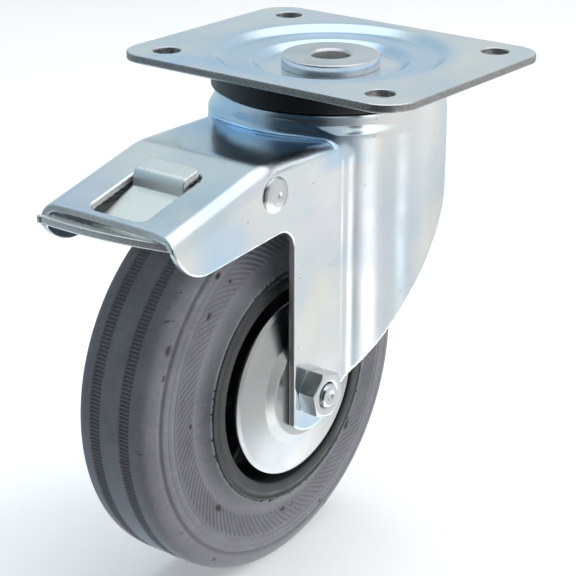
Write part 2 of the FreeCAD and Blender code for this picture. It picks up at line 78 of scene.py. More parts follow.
AXLE = middle_mm("axle_sleeve")
PIVOT = middle_mm("lever_pivot_sleeve")
WHEEL_RADIUS = 80.0
HOOD_HALF = 34.0      # half width of the hood over its legs
SHEET = 3.0
HEAD_RADIUS = 47.0
HEAD_TOP = box_mm("fork")[1][2]
ROOF = -22.6          # height of the hood's level stretch
UPPER_ROW = 38.0      # radius of the circle through the upper balls' centres
LOWER_ROW = 27.0
UPPER_TRACK = 4.05    # radius of the groove that the upper balls run in
LOWER_TRACK = 3.05
UPPER_Z = middle_mm("upper_race_balls")[2]
LOWER_Z = middle_mm("lower_race_balls")[2]
FLATS = 17.0          # width across flats of the nut and the bolt's head
THREAD_RADIUS = 4.9


# ---- outlines

def arc(start, through, end, count=10):
    """Points of the circular arc from start through a middle point to end, without start."""
    (ax, ay), (bx, by), (cx, cy) = start, through, end
    d = 2 * (ax * (by - cy) + bx * (cy - ay) + cx * (ay - by))
    ux = ((ax**2 + ay**2) * (by - cy) + (bx**2 + by**2) * (cy - ay) + (cx**2 + cy**2) * (ay - by)) / d
    uy = ((ax**2 + ay**2) * (cx - bx) + (bx**2 + by**2) * (ax - cx) + (cx**2 + cy**2) * (bx - ax)) / d
    radius = math.hypot(ax - ux, ay - uy)
    first = math.atan2(ay - uy, ax - ux)
    middle = math.atan2(by - uy, bx - ux)
    last = math.atan2(cy - uy, cx - ux)
    turn = (last - first) % (2 * math.pi)
    if (middle - first) % (2 * math.pi) > turn:
        turn -= 2 * math.pi
    angles = [first + turn * step / count for step in range(1, count + 1)]
    return [(ux + radius * math.cos(a), uy + radius * math.sin(a)) for a in angles]


def rounded(corners, radii, count=6):
    """Closed outline with each corner replaced by a tangent arc of its own radius."""
    points = []
    for index, (corner, radius) in enumerate(zip(corners, radii)):
        if radius == 0:
            points.append(corner)
            continue
        here = Vector(corner)
        back = Vector(corners[index - 1]) - here
        ahead = Vector(corners[(index + 1) % len(corners)]) - here
        half = back.angle(ahead) / 2
        reach = min(radius / math.tan(half), 0.49 * back.length, 0.49 * ahead.length)
        radius = reach * math.tan(half)
        start = here + back.normalized() * reach
        end = here + ahead.normalized() * reach
        inward = (back.normalized() + ahead.normalized()).normalized()
        through = here + inward * (radius / math.sin(half) - radius)
        points.append(tuple(start))
        points += arc(tuple(start), tuple(through), tuple(end), count)
    return points


def mirrored(half):
    """Half section followed by its mirror image, as (radius, along) pairs."""
    return half + [(radius, -along) for radius, along in reversed(half)]


def spline(points, count=12):
    """Smooth curve through the points."""
    padded = [2 * np.array(points[0]) - np.array(points[1])] + [np.array(p) for p in points]
    padded.append(2 * np.array(points[-1]) - np.array(points[-2]))
    made = []
    for index in range(1, len(padded) - 2):
        p0, p1, p2, p3 = padded[index - 1:index + 3]
        for step in range(count):
            t = step / count
            made.append(tuple(0.5 * (2 * p1 + (p2 - p0) * t + (2 * p0 - 5 * p1 + 4 * p2 - p3) * t**2
                                     + (3 * p1 - p0 - 3 * p2 + p3) * t**3)))
    made.append(tuple(points[-1]))
    return made


# ---- distance fields (negative inside, millimetres)

def round_max(a, b, radius):
    """Intersection of two solids with its edge rounded."""
    outside = np.hypot(np.maximum(a + radius, 0), np.maximum(b + radius, 0))
    return np.minimum(np.maximum(a, b), -radius) + outside


def soft_min(a, b, width):
    """Union of two solids with the inside corner filled over the given width."""
    share = np.maximum(width - np.abs(a - b), 0) / np.maximum(width, 1e-6)
    return np.minimum(a, b) - share * share * width / 4


def smooth_step(value, low, high):
    """0 below low, 1 above high, smooth between."""
    t = np.clip((value - low) / (high - low), 0, 1)
    return t * t * (3 - 2 * t)


def polygon(points, u, v):
    """Distance to a closed outline in its own plane."""
    best = np.full(np.broadcast(u, v).shape, 1e9, np.float32)
    inside = np.zeros(best.shape, bool)
    for (au, av), (bu, bv) in zip(points, points[1:] + points[:1]):
        du, dv = bu - au, bv - av
        length = du * du + dv * dv
        if length < 1e-12:
            continue
        t = np.clip(((u - au) * du + (v - av) * dv) / length, 0, 1)
        best = np.minimum(best, (u - au - t * du)**2 + (v - av - t * dv)**2)
        if bv != av:
            inside ^= ((av > v) != (bv > v)) & (u < (bu - au) * (v - av) / (bv - av) + au)
    return np.where(inside, -1, 1) * np.sqrt(best)


def strip(points, u, v):
    """Distance to an open line of points."""
    best = np.full(np.broadcast(u, v).shape, 1e9, np.float32)
    for (au, av), (bu, bv) in zip(points, points[1:]):
        du, dv = bu - au, bv - av
        t = np.clip(((u - au) * du + (v - av) * dv) / (du * du + dv * dv), 0, 1)
        best = np.minimum(best, (u - au - t * du)**2 + (v - av - t * dv)**2)
    return np.sqrt(best)


def rounded_box(u, v, half_u, half_v, corner):
    """Distance to a rectangle with round corners."""
    du = np.abs(u) - half_u + corner
    dv = np.abs(v) - half_v + corner
    return np.hypot(np.maximum(du, 0), np.maximum(dv, 0)) + np.minimum(np.maximum(du, dv), 0) - corner


def turned(points, radius, along, step=0.2):
    """Distance to a solid of revolution, read from a fine table of its half section."""
    radius, along = np.broadcast_arrays(radius, along)
    high_r = float(radius.max()) + step
    low_a, high_a = float(along.min()) - step, float(along.max()) + step
    table_r = np.arange(0, high_r + step, step, dtype=np.float32)
    table_a = np.arange(low_a, high_a + step, step, dtype=np.float32)
    table = polygon(points, table_r[:, None], table_a[None, :])
    fr = radius / step
    fa = (along - low_a) / step
    ir = np.clip(fr.astype(np.int32), 0, len(table_r) - 2)
    ia = np.clip(fa.astype(np.int32), 0, len(table_a) - 2)
    tr, ta = fr - ir, fa - ia
    upper = table[ir, ia] * (1 - ta) + table[ir, ia + 1] * ta
    lower = table[ir + 1, ia] * (1 - ta) + table[ir + 1, ia + 1] * ta
    return upper * (1 - tr) + lower * tr


# ---- meshes

class Block:
    """Regular sample points through a box, in millimetres."""

    def __init__(self, low, high, step):
        self.step = step
        self.low = np.array(low, np.float32) - 2.5 * step
        counts = np.ceil((np.array(high) - self.low) / step).astype(int) + 3
        axes = [self.low[i] + step * np.arange(counts[i], dtype=np.float32) for i in range(3)]
        self.shape = tuple(counts)
        self.x = axes[0][:, None, None]
        self.y = axes[1][None, :, None]
        self.z = axes[2][None, None, :]

    def sample(self, field, points):
        """Field values between the sample points."""
        place = (points - self.low) / self.step
        cell = np.clip(place.astype(np.int32), 0, np.array(self.shape) - 2)
        t = place - cell
        total = 0
        for corner in product((0, 1), repeat=3):
            weight = np.abs(1 - np.array(corner) - t).prod(1)
            total = total + weight * field[tuple((cell + corner).T)]
        return total

    def gradient(self, field, points):
        """Slope of the field at the points."""
        reach = 0.5 * self.step
        slopes = []
        for offset in np.eye(3, dtype=np.float32) * reach:
            rise = self.sample(field, points + offset) - self.sample(field, points - offset)
            slopes.append(rise / (2 * reach))
        return np.stack(slopes, 1)


def net(block, field):
    """Vertices and quads on the field's zero surface."""
    inside = field < 0
    some = np.zeros(tuple(n - 1 for n in field.shape), bool)
    every = np.ones_like(some)
    for corner in product([slice(0, -1), slice(1, None)], repeat=3):
        some |= inside[corner]
        every &= inside[corner]
    cells = np.argwhere(some & ~every)
    number = np.full(some.shape, -1, np.int32)
    number[tuple(cells.T)] = np.arange(len(cells))
    total = np.zeros((len(cells), 3), np.float32)
    count = np.zeros(len(cells), np.float32)
    for axis in range(3):
        others = [i for i in range(3) if i != axis]
        for corner in product((0, 1), repeat=2):
            start = np.zeros(3, int)
            start[others] = corner
            end = start.copy()
            end[axis] = 1
            f0 = field[tuple((cells + start).T)]
            f1 = field[tuple((cells + end).T)]
            crossing = (f0 < 0) != (f1 < 0)
            point = np.tile(start.astype(np.float32), (len(cells), 1))
            point[:, axis] = np.where(crossing, f0 / np.where(crossing, f0 - f1, 1), 0)
            total += point * crossing[:, None]
            count += crossing
    points = block.low + (cells + total / count[:, None]) * block.step
    quads = []
    for axis in range(3):
        a, b = [(1, 2), (2, 0), (0, 1)][axis]
        here = [slice(1, -1)] * 3
        here[axis] = slice(0, -1)
        there = list(here)
        there[axis] = slice(1, None)
        change = inside[tuple(here)] != inside[tuple(there)]
        edges = np.argwhere(change) + (np.arange(3) != axis)
        corner = []
        for da, db in ((-1, -1), (0, -1), (0, 0), (-1, 0)):
            at = edges.copy()
            at[:, a] += da
            at[:, b] += db
            corner.append(number[tuple(at.T)])
        quad = np.stack(corner, 1)
        leaving = inside[tuple(edges.T)]
        quad[~leaving] = quad[~leaving][:, ::-1]
        quads.append(quad)
    quads = np.concatenate(quads)
    return points, quads[(quads >= 0).all(1)]


def placed(name, data):
    """New object in the scene."""
    item = bpy.data.objects.new(name, data)
    bpy.context.scene.collection.objects.link(item)
    return item


def make_object(name, points, faces, body, material, replaced, normals=None, marks=None):
    """Mesh object in metres that stands for a CAD node and rides on a body; marks are values per vertex."""
    mesh = bpy.data.meshes.new(name)
    mesh.from_pydata((points * MM).tolist(), [], faces.tolist())
    mesh.validate()
    mesh.polygons.foreach_set("use_smooth", np.ones(len(mesh.polygons), bool))
    for label, values in (marks or {}).items():
        layer = mesh.attributes.new(label, "FLOAT", "POINT")
        layer.data.foreach_set("value", values.astype(np.float32))
    if normals is not None:
        mesh.normals_split_custom_set_from_vertices(normals.tolist())
    mesh.materials.append(material)
    piece = placed(name, mesh)
    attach(piece, body)
    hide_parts(replaced)
    return piece


def carve(name, block, field, body, material, replaced, cut=None):
    """Object on the zero surface of a field; cut is a field that is near zero on sheared faces."""
    field = np.ascontiguousarray(np.broadcast_to(field, block.shape), dtype=np.float32)
    points, quads = net(block, field)
    for _ in range(2):
        slope = block.gradient(field, points)
        steepness = np.maximum((slope**2).sum(1), 0.25)
        points = points - slope * (block.sample(field, points) / steepness)[:, None]
    slope = block.gradient(field, points)
    normals = slope / np.maximum(np.linalg.norm(slope, axis=1, keepdims=True), 1e-6)
    marks = {}
    if cut is not None:
        edge = np.ascontiguousarray(np.broadcast_to(cut, block.shape), dtype=np.float32)
        depth = block.sample(edge, points)
        marks["cut"] = smooth_step(depth, -0.45, -0.1) * (1 - smooth_step(depth, 0.2, 0.5))
    make_object(name, points, quads, body, material, replaced, normals, marks)


def ring_points(profile, centre, axis, segments):
    """Grid of points: the profile's (radius, along) pairs turned about Y or Z."""
    profile = np.array(profile)
    angle = 2 * math.pi * np.arange(segments) / segments
    radius = np.repeat(profile[None, :, 0], segments, 0)
    along = np.repeat(profile[None, :, 1], segments, 0)
    cos, sin = np.cos(angle)[:, None], np.sin(angle)[:, None]
    if axis == "z":
        points = np.stack([radius * cos, radius * sin, along], 2)
    else:
        points = np.stack([radius * cos, along, -radius * sin], 2)
    return points + np.array(centre)


def ring_faces(segments, count):
    """Quads that close a turned profile in both directions."""
    step, index = np.divmod(np.arange(segments * count), count)
    here, ahead = step * count, (step + 1) % segments * count
    beyond = (index + 1) % count
    return np.stack([here + index, here + beyond, ahead + beyond, ahead + index], 1)


def lathe(name, profile, centre, axis, body, material, replaced, segments=192, bore=0.0):
    """Turned ring with a closed profile of (radius, along) pairs; inside the bore its wall gets the lighter,
    rougher sheared-edge colour as painted light.
    """
    points = ring_points(profile, centre, axis, segments).reshape(-1, 3)
    faces = ring_faces(segments, len(profile))
    bore_painted_light = np.tile([1.0 if radius < bore else 0.0 for radius, _ in profile], segments)
    face_outwards(make_object(name, points, faces, body, material, replaced, marks={"cut": bore_painted_light}))


def face_outwards(piece):
    """Turn every face of a closed mesh outwards."""
    made = bmesh.new()
    made.from_mesh(piece.data)
    bmesh.ops.recalc_face_normals(made, faces=made.faces)
    made.to_mesh(piece.data)
    made.free()


# ---- materials

class Tree:
    """Short names for building a node tree."""

    def __init__(self, tree):
        self.tree = tree

    def add(self, kind, **settings):
        """New node with these settings."""
        node = self.tree.nodes.new(kind)
        for key, value in settings.items():
            setattr(node, key, value)
        return node

    def link(self, source, target):
        self.tree.links.new(source, target)

    def feed(self, socket, value):
        """Put a number, a colour or another node's result into a socket."""
        if isinstance(value, (int, float)):
            socket.default_value = value
        elif isinstance(value, tuple):
            socket.default_value = (*value, 1)
        else:
            self.link(value, socket)

    def math(self, operation, first, second):
        """Result of one calculation on two values."""
        node = self.add("ShaderNodeMath", operation=operation)
        self.feed(node.inputs[0], first)
        self.feed(node.inputs[1], second)
        return node.outputs[0]

    def mix(self, factor, first, second):
        """Mix of two colours."""
        node = self.add("ShaderNodeMix", data_type="RGBA")
        for index, value in ((0, factor), (6, first), (7, second)):
            self.feed(node.inputs[index], value)
        return node.outputs[2]

    def ramp(self, source, stops, interpolation="LINEAR"):
        """Colour ramp; stops are (position, colour or grey)."""
        node = self.add("ShaderNodeValToRGB")
        node.color_ramp.interpolation = interpolation
        elements = node.color_ramp.elements
        while len(elements) < len(stops):
            elements.new(0.5)
        for element, (position, colour) in zip(elements, stops):
            element.position = position
            shade = colour if isinstance(colour, tuple) else (colour,) * 3
            element.color = (*shade, 1)
        self.link(source, node.inputs["Fac"])
        return node.outputs["Color"]


class Nodes(Tree):
    """A material's node tree; places are object coordinates in metres."""

    def __init__(self, name):
        self.material = bpy.data.materials.new(name)
        self.material.use_nodes = True
        super().__init__(self.material.node_tree)
        self.shader = self.tree.nodes["Principled BSDF"]
        self.place = self.add("ShaderNodeTexCoord").outputs["Object"]

    def noise(self, scale, detail=4.0, stretch=None, roughness=0.5):
        """Noise value over the places; scale in features per metre."""
        place = self.place
        if stretch is not None:
            mapping = self.add("ShaderNodeMapping")
            mapping.inputs["Scale"].default_value = stretch
            self.link(place, mapping.inputs["Vector"])
            place = mapping.outputs["Vector"]
        node = self.add("ShaderNodeTexNoise")
        node.inputs["Scale"].default_value = scale
        node.inputs["Detail"].default_value = detail
        node.inputs["Roughness"].default_value = roughness
        self.link(place, node.inputs["Vector"])
        return node.outputs["Fac"]

    def part(self, letter):
        """One coordinate of the place."""
        split = self.add("ShaderNodeSeparateXYZ")
        self.link(self.place, split.inputs[0])
        return split.outputs[letter]

    def axis_distance(self):
        """Distance from the swivel axis in units of 0.1 m."""
        flat = self.add("ShaderNodeVectorMath", operation="MULTIPLY")
        self.link(self.place, flat.inputs[0])
        flat.inputs[1].default_value = (10.0, 10.0, 0.0)
        length = self.add("ShaderNodeVectorMath", operation="LENGTH")
        self.link(flat.outputs[0], length.inputs[0])
        return length.outputs["Value"]

    def height_above(self, level):
        """1 above a height, 0 four millimetres below it."""
        fade = 0.004
        rise = self.math("MULTIPLY", self.math("SUBTRACT", self.part("Z"), level - fade), 1 / fade)
        return self.math("MINIMUM", 1.0, self.math("MAXIMUM", 0.0, rise))

    def hood_side(self):
        """1 from 40 mm behind the swivel axis towards the hood's end, 0 from 25 mm forwards."""
        behind = self.math("ADD", self.math("MULTIPLY", self.part("X"), -20.0), 0.2)
        return self.ramp(behind, [(0.70, 0.0), (1.0, 1.0)])

    def bump(self, height, strength, distance, below=None):
        """Normal bent by a height, on top of the normal below."""
        node = self.add("ShaderNodeBump")
        node.inputs["Strength"].default_value = strength
        node.inputs["Distance"].default_value = distance
        self.link(height, node.inputs["Height"])
        if below is not None:
            self.link(below, node.inputs["Normal"])
        return node.outputs["Normal"]

    def mark(self, name):
        """Value stored on the mesh."""
        return self.add("ShaderNodeAttribute", attribute_name=name).outputs["Fac"]

    def finish(self, colour, roughness, normal=None, metallic=0.0):
        """The material, with these values on its shader."""
        wanted = {"Base Color": colour, "Roughness": roughness, "Metallic": metallic, "Normal": normal}
        for name, value in wanted.items():
            if value is not None:
                self.feed(self.shader.inputs[name], value)
        return self.material


def zinc(name, cool, pale, rough, blotch=9.0, wave=0.25, clouds=1.0, drawn=None, sheared_tone_and_shade=0.63):
    """Blue-white zinc plating: cloudy passivation colours, soft sheet waves and grey sheared edges.

    cool and pale are its two main colours, rough is its range of roughness, blotch the clouds per metre,
    clouds their strength and wave the sheet's unevenness. drawn is (inner, outer, least): between those
    distances from the swivel axis the stretched metal looks bluer, fully on the hood's side and by the factor
    least on the other. The last argument sets the sheared edges' tone; the plate's low one is painted shade.
    """
    lilac, straw, azure = (0.72, 0.72, 0.84), (0.86, 0.84, 0.72), (0.50, 0.70, 0.88)
    stretched, dirt, pit = (0.40, 0.63, 0.86), (0.35, 0.37, 0.40), (0.30, 0.31, 0.32)
    black = (0.0, 0.0, 0.0)
    n = Nodes(name)
    cloud = n.noise(blotch, 3.0, roughness=0.45)
    colour = n.mix(n.ramp(cloud, [(0.38, 0.0), (0.62, 1.0)]), cool, pale)
    share = n.ramp(n.noise(blotch * 1.7, 2.0), [(0.52, 0.0), (0.70, 0.5 * clouds)])
    colour = n.mix(share, colour, lilac)
    share = n.ramp(n.noise(blotch * 2.3, 2.0, stretch=(1.0, 1.6, 0.8)), [(0.56, 0.0), (0.74, 0.5 * clouds)])
    colour = n.mix(share, colour, straw)
    share = n.ramp(n.noise(blotch * 1.2, 3.0, stretch=(1.2, 1.0, 1.5)), [(0.54, 0.0), (0.70, 0.55 * clouds)])
    share = n.math("MULTIPLY", share, n.math("MAXIMUM", n.hood_side(), 0.35))
    colour = n.mix(share, colour, azure)
    if drawn is not None:
        inner, outer, least = 10 * drawn[0], 10 * drawn[1], drawn[2]
        ring = n.ramp(n.axis_distance(), [
            (inner - 0.03, 0.0), (inner + 0.01, 0.62), (outer - 0.04, 0.62), (outer + 0.04, 0.0)])
        ring = n.mix(n.ramp(cloud, [(0.30, 0.35), (0.60, 1.0)]), black, ring)
        ring = n.mix(n.height_above(-0.030), black, ring)
        ring = n.math("MULTIPLY", ring, n.math("MAXIMUM", n.hood_side(), least))
        colour = n.mix(ring, colour, stretched)
    grain = n.noise(900.0, 5.0)
    colour = n.mix(n.ramp(grain, [(0.35, 0.04), (0.6, 0.0)]), colour, dirt)
    colour = n.mix(n.ramp(n.noise(420.0, 2.0), [(0.72, 0.0), (0.78, 0.5)]), colour, pit)
    roughness = n.ramp(n.noise(60.0, 6.0), [(0.3, rough[0]), (0.7, rough[1])])
    # The cut mark covers the sheared faces and also the kingpin's bore wall, where its lighter colour is
    # painted light.
    cut = n.mark("cut")
    tears = n.ramp(n.noise(1700.0, 5.0, stretch=(1.0, 1.0, 0.6)), [(0.36, sheared_tone_and_shade - 0.07), (0.64, sheared_tone_and_shade + 0.07)])
    colour = n.mix(cut, colour, tears)
    roughness = n.mix(cut, roughness, (0.34, 0.34, 0.34))
    streaks = n.noise(260.0, 3.0, stretch=(1.0, 1.0, 0.18))
    normal = n.bump(n.noise(15.0, 2.0), wave, 0.0014)
    normal = n.bump(streaks, 0.05, 0.0004, normal)
    normal = n.bump(grain, 0.02, 0.0002, normal)
    return n.finish(colour, roughness, normal, n.math("SUBTRACT", 1.0, n.math("MULTIPLY", cut, 0.25)))


def rubber():
    """Grey tyre rubber: mottled, matt, with dark scuffs, pale dust, and grooves darkened by dirt and painted
    shade.
    """
    dark, light, dust = (0.195, 0.195, 0.222), (0.262, 0.262, 0.292), (0.36, 0.36, 0.38)
    scuff, groove_dirt_and_shade, bare = (0.035, 0.035, 0.04), (0.06, 0.06, 0.07), (0.028, 0.028, 0.030)
    n = Nodes("grey_rubber")
    mottled = n.noise(70.0, 6.0, roughness=0.6)
    colour = n.mix(n.ramp(mottled, [(0.35, 0.0), (0.65, 1.0)]), dark, light)
    colour = n.mix(n.ramp(n.noise(400.0, 3.0), [(0.58, 0.0), (0.72, 0.30)]), colour, dust)
    streaks = n.noise(150.0, 3.0, stretch=(1.0, 0.6, 2.2))
    colour = n.mix(n.ramp(streaks, [(0.70, 0.0), (0.76, 0.8)]), colour, scuff)
    # Grooves and tread channels are darkened: dirt together with painted shade.
    colour = n.mix(n.math("MULTIPLY", n.mark("groove_dirt_and_shade"), 0.6), colour, groove_dirt_and_shade)
    colour = n.mix(n.mark("worn"), colour, bare)
    roughness = n.ramp(mottled, [(0.3, 0.50), (0.7, 0.66)])
    normal = n.bump(n.noise(1400.0, 4.0), 0.25, 0.0002)
    normal = n.bump(mottled, 0.2, 0.0003, normal)
    return n.finish(colour, roughness, normal)


def plastic(name, dark, light, rough):
    """Moulded plastic: fine texture, flow marks and slight wear; rough is its range of roughness."""
    n = Nodes(name)
    flow = n.noise(45.0, 4.0)
    colour = n.mix(n.ramp(flow, [(0.35, 0.0), (0.7, 1.0)]), dark, light)
    speck = n.ramp(n.noise(700.0, 3.0), [(0.62, 0.0), (0.75, 0.3)])
    colour = n.mix(speck, colour, tuple(min(1.0, 2.2 * c + 0.02) for c in light))
    roughness = n.ramp(n.noise(120.0, 5.0), [(0.3, rough[0]), (0.7, rough[1])])
    normal = n.bump(n.noise(1100.0, 4.0), 0.2, 0.0002)
    return n.finish(colour, roughness, normal)


def bright_steel(name, colour, rough):
    """Ground or drawn steel with fine turning lines; rough is its range of roughness."""
    n = Nodes(name)
    lines = n.noise(500.0, 3.0, stretch=(1.0, 6.0, 1.0))
    shade = n.mix(n.ramp(lines, [(0.3, 0.0), (0.7, 1.0)]), tuple(0.8 * c for c in colour), colour)
    roughness = n.ramp(n.noise(90.0, 4.0), [(0.3, rough[0]), (0.7, rough[1])])
    return n.finish(shade, roughness, n.bump(lines, 0.08, 0.0002), 1.0)


SHEET_ZINC = zinc(
    "zinc_sheet", cool=(0.62, 0.71, 0.77), pale=(0.86, 0.87, 0.85), rough=(0.15, 0.24),
    blotch=13.0, wave=0.4, clouds=1.5, drawn=(0.047, 0.060, 0.0))
# The plate's sheared edges are set darker than the other parts': painted shade on the plate's edges.
PLATE_ZINC = zinc(
    "zinc_plate", cool=(0.64, 0.74, 0.81), pale=(0.85, 0.85, 0.82), rough=(0.15, 0.26),
    blotch=13.0, wave=0.3, clouds=2.0, drawn=(0.028, 0.050, 0.9), sheared_tone_and_shade=0.30)
DISC_ZINC = zinc(
    "zinc_disc", cool=(0.38, 0.40, 0.40), pale=(0.47, 0.48, 0.46), rough=(0.24, 0.34),
    blotch=12.0, wave=0.10, clouds=0.3)
LEVER_ZINC = zinc(
    "zinc_lever", cool=(0.80, 0.83, 0.80), pale=(0.92, 0.91, 0.84), rough=(0.24, 0.36),
    blotch=18.0, wave=0.2, clouds=0.5)
BOLT_ZINC = zinc(
    "zinc_bolt", cool=(0.54, 0.58, 0.60), pale=(0.69, 0.71, 0.71), rough=(0.16, 0.28),
    blotch=30.0, wave=0.15, clouds=0.5)
RUBBER = rubber()
BLACK = plastic("black_plastic", dark=(0.004, 0.005, 0.0055), light=(0.008, 0.009, 0.010), rough=(0.32, 0.46))
RIM_BLACK = plastic("rim_plastic", dark=(0.030, 0.033, 0.034), light=(0.045, 0.048, 0.05), rough=(0.42, 0.58))
NYLON = plastic("cage_nylon", dark=(0.62, 0.60, 0.53), light=(0.74, 0.72, 0.64), rough=(0.35, 0.5))
BALL_STEEL = bright_steel("bearing_steel", (0.72, 0.72, 0.73), rough=(0.08, 0.18))
SPRING_STEEL = bright_steel("spring_steel", (0.30, 0.30, 0.31), rough=(0.3, 0.45))


# ---- fork

def roof_height(x):
    """Height of the hood's roof and the cosine of its slope."""
    slope = math.radians(14.3)
    bend, kink = 30.0, -78.0
    reach = np.clip(kink - x, 0, bend * math.sin(slope))
    arc_z = ROOF - bend + np.sqrt(bend**2 - reach**2)
    beyond = np.maximum(kink - bend * math.sin(slope) - x, 0)
    return arc_z - beyond * math.tan(slope), np.sqrt(1 - (reach / bend)**2)


def fork_edge():
    """Side view of the sheet's edge."""
    leg_x, bottom = -67.5, 16.6
    ax, az = AXLE[0], AXLE[2]
    heel = (leg_x, az - math.sqrt(bottom**2 - (leg_x - ax)**2))
    toe = (ax + bottom * math.sqrt(0.5), az - bottom * math.sqrt(0.5))
    points = [(-133.0, -20.0), (-135.0, -37.0)]
    points += arc(points[-1], (-128.6, -48.6), (-117.5, -53.0))
    points.append((-76.0, -49.2))
    points += arc(points[-1], (-69.8, -51.6), (leg_x, -57.5))
    points.append(heel)
    points += arc(heel, (ax, az - bottom), toe)
    points += spline([toe, (-25, -109.5), (-3, -83), (18, -61.5), (49, -36.5)])
    return points + [(60, -36.5), (60, 10), (-133, 10)]


def fork_body(x, y, z):
    """Outer skin of the folded sheet: hood and legs, joined to the round head and its bulges."""
    bulge_radius, set_back = 48.5, 1.8
    head_bend, fold_bend = 5.0, 7.0
    neck = smooth_step(-x, 37, 44) * smooth_step(z, -32, -23)
    head = np.maximum(smooth_step(z, -22, -16.5), neck)
    radius = bulge_radius - (bulge_radius - HEAD_RADIUS) * head
    round_part = np.hypot(x + set_back * (1 - head), y) - radius
    round_part = round_max(round_part, z - HEAD_TOP, head_bend)
    height, lean = roof_height(x)
    folded = round_max(np.maximum(np.abs(y) - HOOD_HALF, x), (z - height) * lean, fold_bend)
    crease = 3.1 + 0.3 * smooth_step(z, -36, -24)
    return soft_min(folded, round_part, crease)


def from_row(block, row_radius, height):
    """Distance from the circle through the centres of a row of balls."""
    return np.hypot(np.hypot(block.x, block.y) - row_radius, block.z - height)


def build_fork():
    """Bent sheet with hood, legs and ball tracks."""
    low, high = box_mm("fork")
    block = Block(low, high, step=0.8)
    x, y, z = block.x, block.y, block.z
    sheet = np.abs(fork_body(x, y, z) + SHEET / 2) - SHEET / 2
    window = -rounded_box(x + 111.0, y, half_u=17.0, half_v=13.5, corner=3.5)
    pin_hole = 20.0 - np.hypot(x, y)
    front_x, bow = -131.2, np.where(y < 0, 3.8, 1.2) * (y / HOOD_HALF)**4
    front = front_x - x - bow
    cut = np.maximum(np.maximum(polygon(fork_edge(), x, z), front), np.maximum(window, pin_hole))
    field = round_max(sheet, cut, 0.6)
    upper = from_row(block, UPPER_ROW, UPPER_Z)
    bead = np.maximum(upper - 6.0, z - HEAD_TOP + 1.0)
    field = soft_min(field, bead, 2.6)
    field = np.maximum(field, UPPER_TRACK - upper)
    field = np.maximum(field, LOWER_TRACK - from_row(block, LOWER_ROW, LOWER_Z))
    carve("fork_sheet", block, field, "fork", SHEET_ZINC, "fork", cut)


# ---- top plate, kingpin and seal

def build_top_plate():
    """Pressed rectangular plate with a stepped round dish and four bolt holes."""
    low, high = box_mm("top_plate")
    block = Block(low, high, step=0.7)
    x, y, z = block.x, block.y, block.z
    hole_x, hole_y, hole_radius = 40.0, 52.5, 5.5
    past_corner = 120.0
    profile = rounded([
        (12.0, -6.0), (28.5, -6.0), (32.5, -3.0), (43.0, -3.0), (47.8, 0.0), (past_corner, 0.0),
        (past_corner, -3.5), (48.0, -3.5), (44.8, -6.5), (33.5, -6.5), (30.0, -9.5), (12.0, -9.5)],
        [0, 3.0, 4.0, 3.5, 5.0, 0, 0, 1.5, 3.0, 3.0, 1.5, 0])
    section = turned(profile, np.hypot(x, y), z)
    outline = rounded_box(x, y, half_u=54.0, half_v=69.0, corner=13.0)
    holes = hole_radius - np.hypot(np.abs(x) - hole_x, np.abs(y) - hole_y)
    field = round_max(section, outline, 0.6)
    field = round_max(field, holes, 0.55)
    field = np.maximum(field, UPPER_TRACK - from_row(block, UPPER_ROW, UPPER_Z))
    cut = np.maximum(outline, holes)
    carve("top_plate_pressing", block, field, "plate", PLATE_ZINC, "top_plate", cut)


def build_kingpin():
    """Hollow pin, flanged over the plate and upset over the cup below."""
    cup_low, cup_high = box_mm("lower_race_cup")
    tip = box_mm("kingpin")[0][2]
    bore, neck, shank, flange, upset = 8.0, 11.0, 12.0, 20.0, 15.0
    corners = [
        (bore, -2.2), (bore + 1.0, -1.2), (flange, -1.2), (flange, -6.0), (shank, -6.0), (shank, cup_high[2]),
        (neck, cup_high[2]), (neck, cup_low[2]), (upset, cup_low[2]), (upset, tip), (bore, tip)]
    profile = rounded(corners, [0.3, 0.4, 0.8, 0.3, 0, 0, 0, 0, 0.4, 1.6, 0.6])
    # The bore's wall takes the lighter sheared-edge colour: painted light inside the deep hole.
    lathe("kingpin_turned", profile, (0, 0, 0), "z", "plate", BOLT_ZINC, "kingpin",
          bore=bore + 0.3)


def build_seal():
    """Dust seal: a flat ring over the fork's head with a skirt round the upper balls."""
    corners = [
        (43.2, -11.5), (47.3, -11.5), (47.4, -12.7), (48.4, -12.7), (48.4, -3.9), (47.4, -3.9), (47.0, -8.6),
        (43.2, -9.0)]
    profile = rounded(corners, [0.3, 0.3, 0.2, 0.7, 0.6, 0.3, 1.0, 0.3])
    lathe("dust_seal_ring", profile, (0, 0, 0), "z", "fork", BLACK, "swivel_dust_seal",
          segments=256)


# ---- brake lever

def lip_outline(half):
    """Plan of the pedal pan with its worn, slightly skewed front lip."""
    near, far = (-130.6, 0.6 - half), (-136.2, half + 1.5)
    points = [(-88.0, half), (-88.0, -half), (-129.0, -half)]
    points += arc(points[-1], (-130.1, 0.3 - half), near, 4)
    points += arc(near, (-135.4, -2.5), far, 24)
    points += arc(far, (-136.0, half + 4.2), (-134.5, half + 4.6), 6)
    return points + [(-134.2, half + 2.5), (-133.0, half)]


